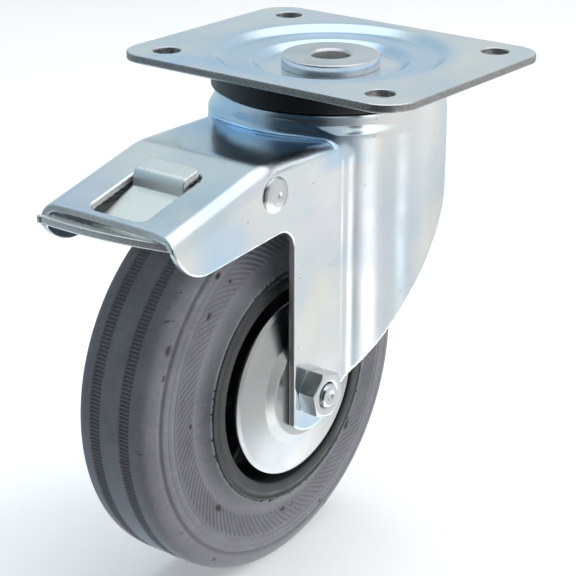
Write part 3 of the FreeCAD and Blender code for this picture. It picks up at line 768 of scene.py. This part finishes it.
def build_lever():
    """Pedal pan with a front lip, a tongue up to a tab, and two ears on the pivot."""
    low, high = box_mm("brake_lever")
    high[1] += 5.0
    block = Block(low, high, step=0.42)
    x, y, z = block.x, block.y, block.z
    side = np.abs(y)
    top, half, half_sheet = -40.2, 27.5, 1.5
    outline = polygon(lip_outline(half), x, y)
    opening = -rounded_box(x + 115.3, y, half_u=8.8, half_v=13.5, corner=2.0)
    cut = np.maximum(outline, opening)
    lip_rise = 1.3 * smooth_step(-x, 122, 132)
    pan = round_max(np.abs(z - top + half_sheet - lip_rise) - half_sheet, cut, 0.5)
    rivet_holes = 2.5 - np.hypot(x + 99.0, side - 9.0)
    pan = np.maximum(pan, rivet_holes)
    ramp = [(-130.0, top - half_sheet), (-125.7, top - half_sheet), (-104.6, -33.0)]
    tab = [(-104.0, -33.6), (-103.5, -28.2)]
    tab += arc(tab[-1], (-102.9, -26.9), (-101.6, -26.2))
    tab.append((-92.0, -23.8))
    plate = np.minimum(strip(ramp, x, z), strip(tab, x, z)) - half_sheet
    tongue_outline = rounded_box(x + 113.2, y, half_u=18.2, half_v=12.5, corner=2.6)
    tongue = round_max(plate, tongue_outline, 0.45)
    flank = [
        (-120.0, -43.2), (-88.0, -43.2), (-78.0, -39.2), (-73.5, -36.0), (-73.0, -30.0), (-78.0, -27.2),
        (-82.0, -27.6), (-112.0, -37.5), (-120.0, -40.2)]
    ear_radius, pivot_hole = 6.2, 4.05
    from_pivot = np.hypot(x - PIVOT[0], z - PIVOT[2])
    ear_outline = np.minimum(polygon(flank, x, z), from_pivot - ear_radius)
    ear = round_max(np.abs(side - half + half_sheet) - half_sheet, ear_outline, 0.5)
    field = soft_min(soft_min(pan, tongue, 0.8), ear, 1.0)
    field = np.maximum(field, pivot_hole - from_pivot)
    sheared = np.where(z > top + 1.9, tongue_outline, cut)
    carve("lever_pressing", block, field, "lever", LEVER_ZINC, "brake_lever", sheared)


# ---- pins, bolt and nut

def hexagon(u, v, turn):
    """Distance to a hexagon whose corners start at the given angle in degrees."""
    best = -np.inf
    for step in range(6):
        angle = math.radians(turn + 30 + 60 * step)
        best = np.maximum(best, u * math.cos(angle) + v * math.sin(angle) - FLATS / 2)
    return best


def chamfer(radius, depth):
    """Distance to the 30 degree cone that takes a hexagon's corners off."""
    return (radius - 8.7) * 0.5 + depth * 0.866


def build_nut():
    """Hexagon nut with chamfered corners and a countersunk thread hole."""
    low, high = box_mm("axle_nut")
    block = Block(low, high, step=0.25)
    u, v = block.x - AXLE[0], block.z - AXLE[2]
    radius = np.hypot(u, v)
    depth = np.abs(block.y - (low[1] + high[1]) / 2) - (high[1] - low[1]) / 2
    field = round_max(hexagon(u, v, 44), depth, 0.4)
    field = round_max(field, chamfer(radius, depth), 0.3)
    field = round_max(field, THREAD_RADIUS - radius, 0.4)
    field = round_max(field, (THREAD_RADIUS + 1.0 - radius + depth) * 0.7, 0.3)
    carve("nut_hexagon", block, field, "fork", BOLT_ZINC, "axle_nut")


def build_bolt():
    """Axle bolt: thread and dimple at the nut's end, hexagon head at the other."""
    low, high = box_mm("axle_bolt")
    block = Block(low, high, step=0.42)
    u, v, y = block.x - AXLE[0], block.z - AXLE[2], block.y
    radius = np.hypot(u, v)
    pitch, thread_depth = 1.5, 0.5
    turn = np.arctan2(v, u) / (2 * math.pi)
    wave = np.abs(((y / pitch + turn) % 1.0) - 0.5) * 2
    shank = radius - THREAD_RADIUS + thread_depth * wave * smooth_step(-y, 33.0, 34.5)
    shank = round_max(shank, low[1] - y, 0.3)
    shank = np.maximum(shank, (radius - 4.0 - (y - low[1])) * 0.7)
    dimple = low[1] + 0.9 * smooth_step(-radius, -2.2, -1.1) - y
    shank = np.maximum(shank, dimple)
    shank = np.maximum(shank, y - HOOD_HALF - 1.0)
    centre = (HOOD_HALF + high[1]) / 2
    head = round_max(hexagon(u, v, 14), np.abs(y - centre) - (high[1] - HOOD_HALF) / 2, 0.3)
    head = round_max(head, chamfer(radius, y - high[1]), 0.3)
    carve("bolt_turned", block, np.minimum(shank, head), "fork", BOLT_ZINC, "axle_bolt")


def build_pivot_rivet():
    """Rivet with a low domed head outside each leg."""
    top = box_mm("lever_pivot_pin")[1][1]
    half = [
        (0.01, top), (2.2, top - 0.06), (4.4, top - 0.42), (6.0, top - 1.1), (6.9, top - 1.9),
        (7.0, HOOD_HALF), (4.0, HOOD_HALF - 0.1)]
    radii = [0, 1.2, 1.5, 1.5, 0.5, 0.2, 0]
    profile = rounded(mirrored(half), radii + radii[::-1])
    lathe("pivot_rivet", profile, PIVOT, "y", "fork", BOLT_ZINC, "lever_pivot_pin",
          segments=96)


# ---- wheel

def build_guard(name, node, side):
    """Dished disc with a rolled rim and a rounded boss."""
    corners = [
        (5.2, 31.0), (19.6, 31.0), (23.0, 28.6), (35.2, 26.5), (36.8, 25.6), (36.8, 24.4), (35.9, 24.4),
        (35.6, 25.3), (22.6, 27.6), (19.2, 30.0), (5.2, 30.0)]
    profile = rounded(corners, [0.2, 2.4, 2.2, 0.8, 0.7, 0.2, 0.2, 0.5, 1.4, 1.4, 0.2], 8)
    profile = [(radius, side * along) for radius, along in profile]
    centre = (AXLE[0], 0, AXLE[2])
    lathe(name, profile, centre, "y", "fork", DISC_ZINC, node, segments=224)


def build_rim():
    """Moulded rim: hub, eight ribs, web and a lipped bed for the tyre."""
    low, high = box_mm("wheel_rim")
    block = Block(low, high, step=0.97)
    u, v, y = block.x - AXLE[0], block.z - AXLE[2], block.y
    radius = np.hypot(u, v)
    half = [
        (16.5, 27.0), (18.5, 27.0), (19.4, 5.0), (39.6, 5.0), (41.0, 23.8), (41.4, 24.4), (47.9, 24.4),
        (48.4, 23.8), (48.4, 9.0), (53.0, 7.0)]
    radii = [0.2, 0.6, 2.0, 2.5, 0.8, 0.6, 0.8, 0.3, 0.3, 0.3]
    field = turned(rounded(mirrored(half), radii + radii[::-1]), radius, y)
    ribs, rib_half, rib_start, rib_end, rib_side = 8, 1.3, 18.0, 42.0, 15.0
    pitch = 2 * math.pi / ribs
    from_rib = np.abs((np.arctan2(v, u) + pitch / 2) % pitch - pitch / 2) * radius
    span = np.maximum(np.abs(y) - rib_side, np.maximum(rib_start - radius, radius - rib_end))
    field = soft_min(field, round_max(from_rib - rib_half, span, 0.6), 1.6)
    lip_groove = 1.0 - np.hypot(radius - 46.3, np.abs(y) - 24.7)
    field = round_max(field, lip_groove, 0.4)
    carve("rim_moulding", block, field, "wheel", RIM_BLACK, "wheel_rim")


def tyre_half_section():
    """(radius, side) points from the tread's middle to the bead, with extra rows where detail sits."""
    half_width, drop, power = 19.6, 13.0, 10
    wall_top, wall_middle, wall_foot = 67.2, 65.3, 54.8
    tread_sides = [
        0.0, 1.6, 3.2, 4.3, 4.6, 4.75, 4.95, 5.2, 6.2, 7.3, 8.4, 9.4, 9.65, 9.85, 10.0, 10.3, 11.5, 12.6,
        13.6, 14.6, 15.4, 16.1, 16.7, 17.2, 17.6, 18.0, 18.35, 18.65]
    rows = [(WHEEL_RADIUS - drop * (side / half_width)**power, side) for side in tread_sides]
    for radius in np.arange(rows[-1][0] - 0.35, wall_middle + 0.1, -0.35):
        if radius > wall_top:
            rows.append((radius, half_width * ((WHEEL_RADIUS - radius) / drop)**(1 / power)))
        else:
            rows.append((radius, half_width + 0.06 * (wall_top - radius)))
    for radius in np.arange(wall_middle, wall_foot, -0.42):
        rows.append((radius, 19.72 + 0.028 * (wall_middle - radius)))
    for step in range(1, 13):
        t = step / 12
        rows.append((wall_foot - 5.6 * t, 20.02 + 3.3 * t**2.2))
    return rows + [(49.0, 23.40), (48.8, 23.46), (48.6, 23.51), (48.45, 23.55)]


def groove(value, centre, half_width, slope):
    """1 inside a groove, 0 outside."""
    distance = np.abs(value - centre)
    return 1 - smooth_step(distance, half_width - slope, half_width + slope)


def ragged_line(rng, angle):
    """Height of the moulding edge round the wheel: smoothed noise that is stronger in clusters."""
    ragged = rng.normal(0, 1, len(angle))
    kernel = np.hanning(7)[1:-1]
    ragged = np.convolve(np.concatenate([ragged[-2:], ragged, ragged[:2]]), kernel / kernel.sum(), "valid")
    cluster = 0.5 + 0.5 * np.sin(9 * angle + 2.0 * np.sin(4 * angle) + 1.3)
    return ragged * (0.25 + 0.75 * cluster)


def scuffs(rng, theta, radius, flank):
    """1 in bare spots at random places on both flanks, 0 elsewhere."""
    worn = np.zeros_like(radius)
    for _ in range(26):
        place, height, size = rng.uniform(0, 2 * math.pi), rng.uniform(54, 78), rng.uniform(0.5, 1.6)
        chosen = rng.choice([-1, 1])
        turn = (theta - place + math.pi) % (2 * math.pi) - math.pi
        gap = np.hypot(turn * height / rng.uniform(1.0, 2.2), radius - height) / size
        worn = np.maximum(worn, np.where(flank == chosen, 1 - smooth_step(gap, 0.6, 1.2), 0))
    return worn


def build_tyre():
    """Displaced ring: toothed tread channels, hatched and lined flanks, ragged moulding edge and scuffs."""
    segments, teeth, hatches = 1280, 320, 126
    wall_foot, line_radius, wall_top, tread_edge = 55.0, 71.8, 76.0, 78.0
    half = np.array(tyre_half_section())
    bed = np.array([(48.42, 16.0), (48.42, 9.0), (53.02, 7.0), (53.02, 0.0)])
    mirror = np.array([1, -1])
    outer = np.concatenate([half[::-1] * mirror, half[1:]])
    profile = np.concatenate([outer, bed, bed[-2::-1] * mirror])
    outside = np.arange(len(profile)) < len(outer)
    on_tread = outside & (profile[:, 0] > tread_edge)
    on_wall = outside & (profile[:, 0] < wall_top) & (profile[:, 0] > wall_foot)
    radius = np.repeat(profile[None, :, 0], segments, 0)
    side = np.repeat(profile[None, :, 1], segments, 0)
    flank, reach = np.sign(side), np.abs(side)
    step = np.arange(segments)
    angle = 2 * math.pi * step / segments
    theta = angle[:, None]

    tooth = ((step * teeth * 4 // segments) % 4 < 2)[:, None]
    channel = groove(reach, centre=7.3, half_width=2.5, slope=0.14) * np.where(tooth, 0.35, 1.0)
    lip = groove(reach, 4.5, 0.12, 0.1) + groove(reach, 10.1, 0.12, 0.1)
    radius = radius - np.where(on_tread, channel - 0.12 * lip, 0)

    lines = 0.7 * groove(radius, line_radius, 0.5, 0.3) + 0.22 * groove(radius, 68.7, 0.3, 0.2)
    lines += 0.3 * groove(radius, 65.7, 0.35, 0.2)
    phase = hatches * theta - (radius - 60.0) * 1.12 / 60.0 * hatches
    crest = np.clip(np.cos(phase), -0.2, 1.0)
    band = smooth_step(radius, 55.0, 56.2) * (1 - smooth_step(radius, 64.0, 65.0))
    hatch = 0.42 * crest * band

    rng = np.random.default_rng(7)
    ragged = ragged_line(rng, angle)[:, None]
    worn = scuffs(rng, theta, radius, flank)
    edge = np.where(outside, 1, 0) * (1 - smooth_step(radius, 48.6, 49.3))
    flash = edge * ragged
    worn = np.maximum(worn, edge * smooth_step(ragged, 0.15, 0.5))
    relief = np.where(on_wall, hatch * (1 - worn) - lines - 0.3 * worn, 0)
    side = side + flank * (relief + 0.15 * flash)
    radius = radius + 0.55 * flash

    points = np.stack([AXLE[0] + radius * np.cos(theta), side, AXLE[2] + radius * np.sin(theta)], 2)
    # Painted shade with dirt: the hatch valleys, the deep flank line and the tread channels are marked to be
    # coloured darker.
    valley = 0.8 * np.clip(0.5 - crest, 0, 1) * band + 0.9 * groove(radius, line_radius, 0.3, 0.3)
    groove_dirt_and_shade = np.maximum(np.where(on_wall, valley, 0), np.where(on_tread, channel, 0))
    marks = {"worn": worn.reshape(-1), "groove_dirt_and_shade": groove_dirt_and_shade.reshape(-1)}
    faces = ring_faces(segments, len(profile))
    face_outwards(make_object(
        "tyre_rubber", points.reshape(-1, 3), faces, "wheel", RUBBER, "tyre", marks=marks))


# ---- carried-over nodes

def finish_nodes():
    """Give every CAD node that still shows its own material."""
    looks = {
        "lower_race_cup": DISC_ZINC, "upper_race_balls": BALL_STEEL, "lower_race_balls": BALL_STEEL,
        "brake_shoe": BLACK, "shoe_rivets": BOLT_ZINC, "lever_pivot_sleeve": BOLT_ZINC,
        "lever_spring": SPRING_STEEL, "axle_sleeve": BALL_STEEL, "roller_cage": NYLON,
        "bearing_rollers": BALL_STEEL, "hub_liner": BALL_STEEL}
    for node, material in looks.items():
        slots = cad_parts[node].data.materials
        slots.clear()
        slots.append(material)


# ---- floor, light and camera

def build_stage():
    """White floor just under the wheel, left out of reflections and bounced light."""
    reach, z = 4.0, cad_box[0][2] - 0.0002
    floor = bpy.data.meshes.new("floor")
    corners = [(-reach, -reach, z), (reach, -reach, z), (reach, reach, z), (-reach, reach, z)]
    floor.from_pydata(corners, [], [(0, 1, 2, 3)])
    n = Nodes("floor_paper")
    shade = n.ramp(n.noise(3.0, 2.0), [(0.3, 0.90), (0.7, 0.93)])
    n.shader.inputs["Emission Color"].default_value = (1.0, 1.0, 1.0, 1)
    n.shader.inputs["Emission Strength"].default_value = 0.22
    floor.materials.append(n.finish(shade, 0.75))
    piece = placed("floor", floor)
    piece.visible_glossy = False
    piece.visible_diffuse = False


def area_light(name, place, target, size, power, colour=(1, 1, 1)):
    """Soft rectangular lamp that points at a target and doesn't show in reflections."""
    light = bpy.data.lights.new(name, "AREA")
    light.shape = "RECTANGLE"
    light.size, light.size_y = size
    light.energy = power
    light.color = colour
    lamp = placed(name, light)
    lamp.location = place
    lamp.rotation_euler = (Vector(target) - Vector(place)).to_track_quat("-Z", "Y").to_euler()
    lamp.visible_glossy = False


def compass(*stops):
    """Ramp stops round the horizon from (degrees, brightness, blueness)."""
    made = []
    for degrees, shade, blue in stops:
        colour = (shade * (1 - 0.28 * blue), shade * (1 - 0.06 * blue), shade * (1 + 0.06 * blue))
        made.append(((degrees + 180) / 360, colour))
    return made


def build_world():
    """Studio surround: dark behind the pedal side, cool at the back, bright at the right, above and below."""
    world = bpy.data.worlds.new("studio")
    world.use_nodes = True
    n = Tree(world.node_tree)

    def gate(value, start, slope, top=1.0):
        """0 up to a value, then rising to the top."""
        rise = n.math("MULTIPLY", n.math("SUBTRACT", value, start), slope)
        return n.math("MINIMUM", top, n.math("MAXIMUM", 0.0, rise))

    def scaled(colour, amount):
        """A colour times a number."""
        node = n.add("ShaderNodeVectorMath", operation="SCALE")
        n.link(colour, node.inputs[0])
        n.link(amount, node.inputs["Scale"])
        return node.outputs[0]

    def added(first, second):
        """Sum of two colours."""
        node = n.add("ShaderNodeVectorMath", operation="ADD")
        n.link(first, node.inputs[0])
        n.link(second, node.inputs[1])
        return node.outputs[0]

    def tint(colour, upright, backwards):
        """A colour where both gates are open."""
        plain = n.add("ShaderNodeRGB").outputs[0]
        n.feed(plain, colour)
        return scaled(plain, n.math("MULTIPLY", upright, backwards))

    direction = n.add("ShaderNodeSeparateXYZ")
    n.link(n.add("ShaderNodeTexCoord").outputs["Generated"], direction.inputs[0])
    x, y, z = direction.outputs
    behind, left, down = [n.math("MULTIPLY", value, -1.0) for value in (x, y, z)]
    around = n.math("DIVIDE", n.math("ADD", n.math("ARCTAN2", y, x), math.pi), 2 * math.pi)

    def panel(start, full, fading, end):
        """Upright band of light between two directions, with soft sides."""
        return n.ramp(around, compass((start, 0, 0), (full, 1, 0), (fading, 1, 0), (end, 0, 0)), "EASE")

    ring = n.ramp(around, compass(
        (-180, 0.02, 0), (-152, 0.03, 0), (-138, 0.20, 0), (-122, 0.30, 0.4), (-109, 0.68, 0.1),
        (-86, 0.76, 0), (-55, 0.80, 0), (-37, 0.86, 0), (-12, 0.76, 0.1), (5, 0.74, 0.4), (28, 0.68, 0.4),
        (50, 0.66, 0.7), (90, 0.62, 1.0), (125, 0.54, 0.9), (148, 0.36, 0.8), (161, 0.04, 0.5),
        (180, 0.02, 0)), "EASE")
    panel_light = 1.1
    low, lower = gate(down, 0.29, 20.0), gate(down, 0.34, 30.0)
    panels = added(
        scaled(panel(-111, -105, -99, -92), n.math("MULTIPLY", low, panel_light)),
        scaled(panel(-74, -69, -64, -59), n.math("MULTIPLY", n.math("SUBTRACT", low, lower), panel_light)))
    floor_light = n.math("ADD", gate(down, 0.45, 7.0, 1.2), 1.0)
    corner = n.math("MULTIPLY", gate(behind, 0.1, 5.0), gate(left, 0.1, 5.0))
    corner = n.math("MULTIPLY", corner, gate(z, 0.3, 5.0))
    dimmed = n.math("SUBTRACT", 1.0, n.math("MULTIPLY", corner, 0.85))
    total = scaled(added(scaled(ring, floor_light), panels), dimmed)
    haze = tint((0.004, 0.030, 0.055), gate(z, 0.1, 5.0), gate(behind, 0.4, 4.0))
    glow = tint((0.55, 0.56, 0.56), gate(down, 0.47, 6.0), gate(behind, 0.3, 4.0))
    total = added(added(total, haze), glow)
    zenith = gate(n.math("ADD", z, n.math("MULTIPLY", x, 0.12)), 0.74, 8.0)
    glossy = n.add("ShaderNodeLightPath").outputs["Is Glossy Ray"]
    strength = n.math("ADD", 0.70, n.math("MULTIPLY", glossy, 0.40))
    strength = n.math("ADD", strength, n.math("MULTIPLY", zenith, n.math("MULTIPLY", glossy, 0.45)))
    background = n.tree.nodes["Background"]
    n.link(n.mix(zenith, total, (0.95, 0.98, 1.0)), background.inputs[0])
    n.link(strength, background.inputs[1])
    bpy.context.scene.world = world


def build_lights():
    """Key light from the right, weak fill from the left and a large soft light from above."""
    middle = (-0.04, 0.0, -0.1)
    area_light("key_right", (0.75, -0.85, 0.45), middle, size=(0.7, 0.9), power=8.0)
    area_light("fill_left", (-1.0, -0.45, 0.15), middle, size=(0.7, 0.7), power=1.5)
    area_light("top_soft", (0.25, 0.05, 1.1), middle, size=(1.0, 1.0), power=9.0, colour=(0.94, 0.97, 1.0))
    bpy.context.scene.view_settings.view_transform = "Standard"


def build_camera():
    """Camera solved from the plate's corners and holes and the wheel's ellipses."""
    azimuth, elevation, distance = math.radians(-52.04), math.radians(21.86), 0.7059
    target = Vector((-0.0333, -0.0042, -0.0913))
    flat = math.cos(elevation)
    back = Vector((math.sin(azimuth) * flat, -math.cos(azimuth) * flat, math.sin(elevation)))
    data = bpy.data.cameras.new("camera")
    data.sensor_width = 36.0
    data.lens = 108.6
    data.clip_start, data.clip_end = 0.01, 20.0
    camera = placed("camera", data)
    camera.location = target + back * distance
    camera.rotation_euler = (-back).to_track_quat("-Z", "Y").to_euler()
    bpy.context.scene.camera = camera


build_fork()
build_top_plate()
build_kingpin()
build_seal()
build_lever()
build_nut()
build_bolt()
build_pivot_rivet()
build_guard("guard_disc_near", "thread_guard_near", -1)
build_guard("guard_disc_far", "thread_guard_far", 1)
build_rim()
build_tyre()
finish_nodes()
build_stage()
build_world()
build_lights()
build_camera()
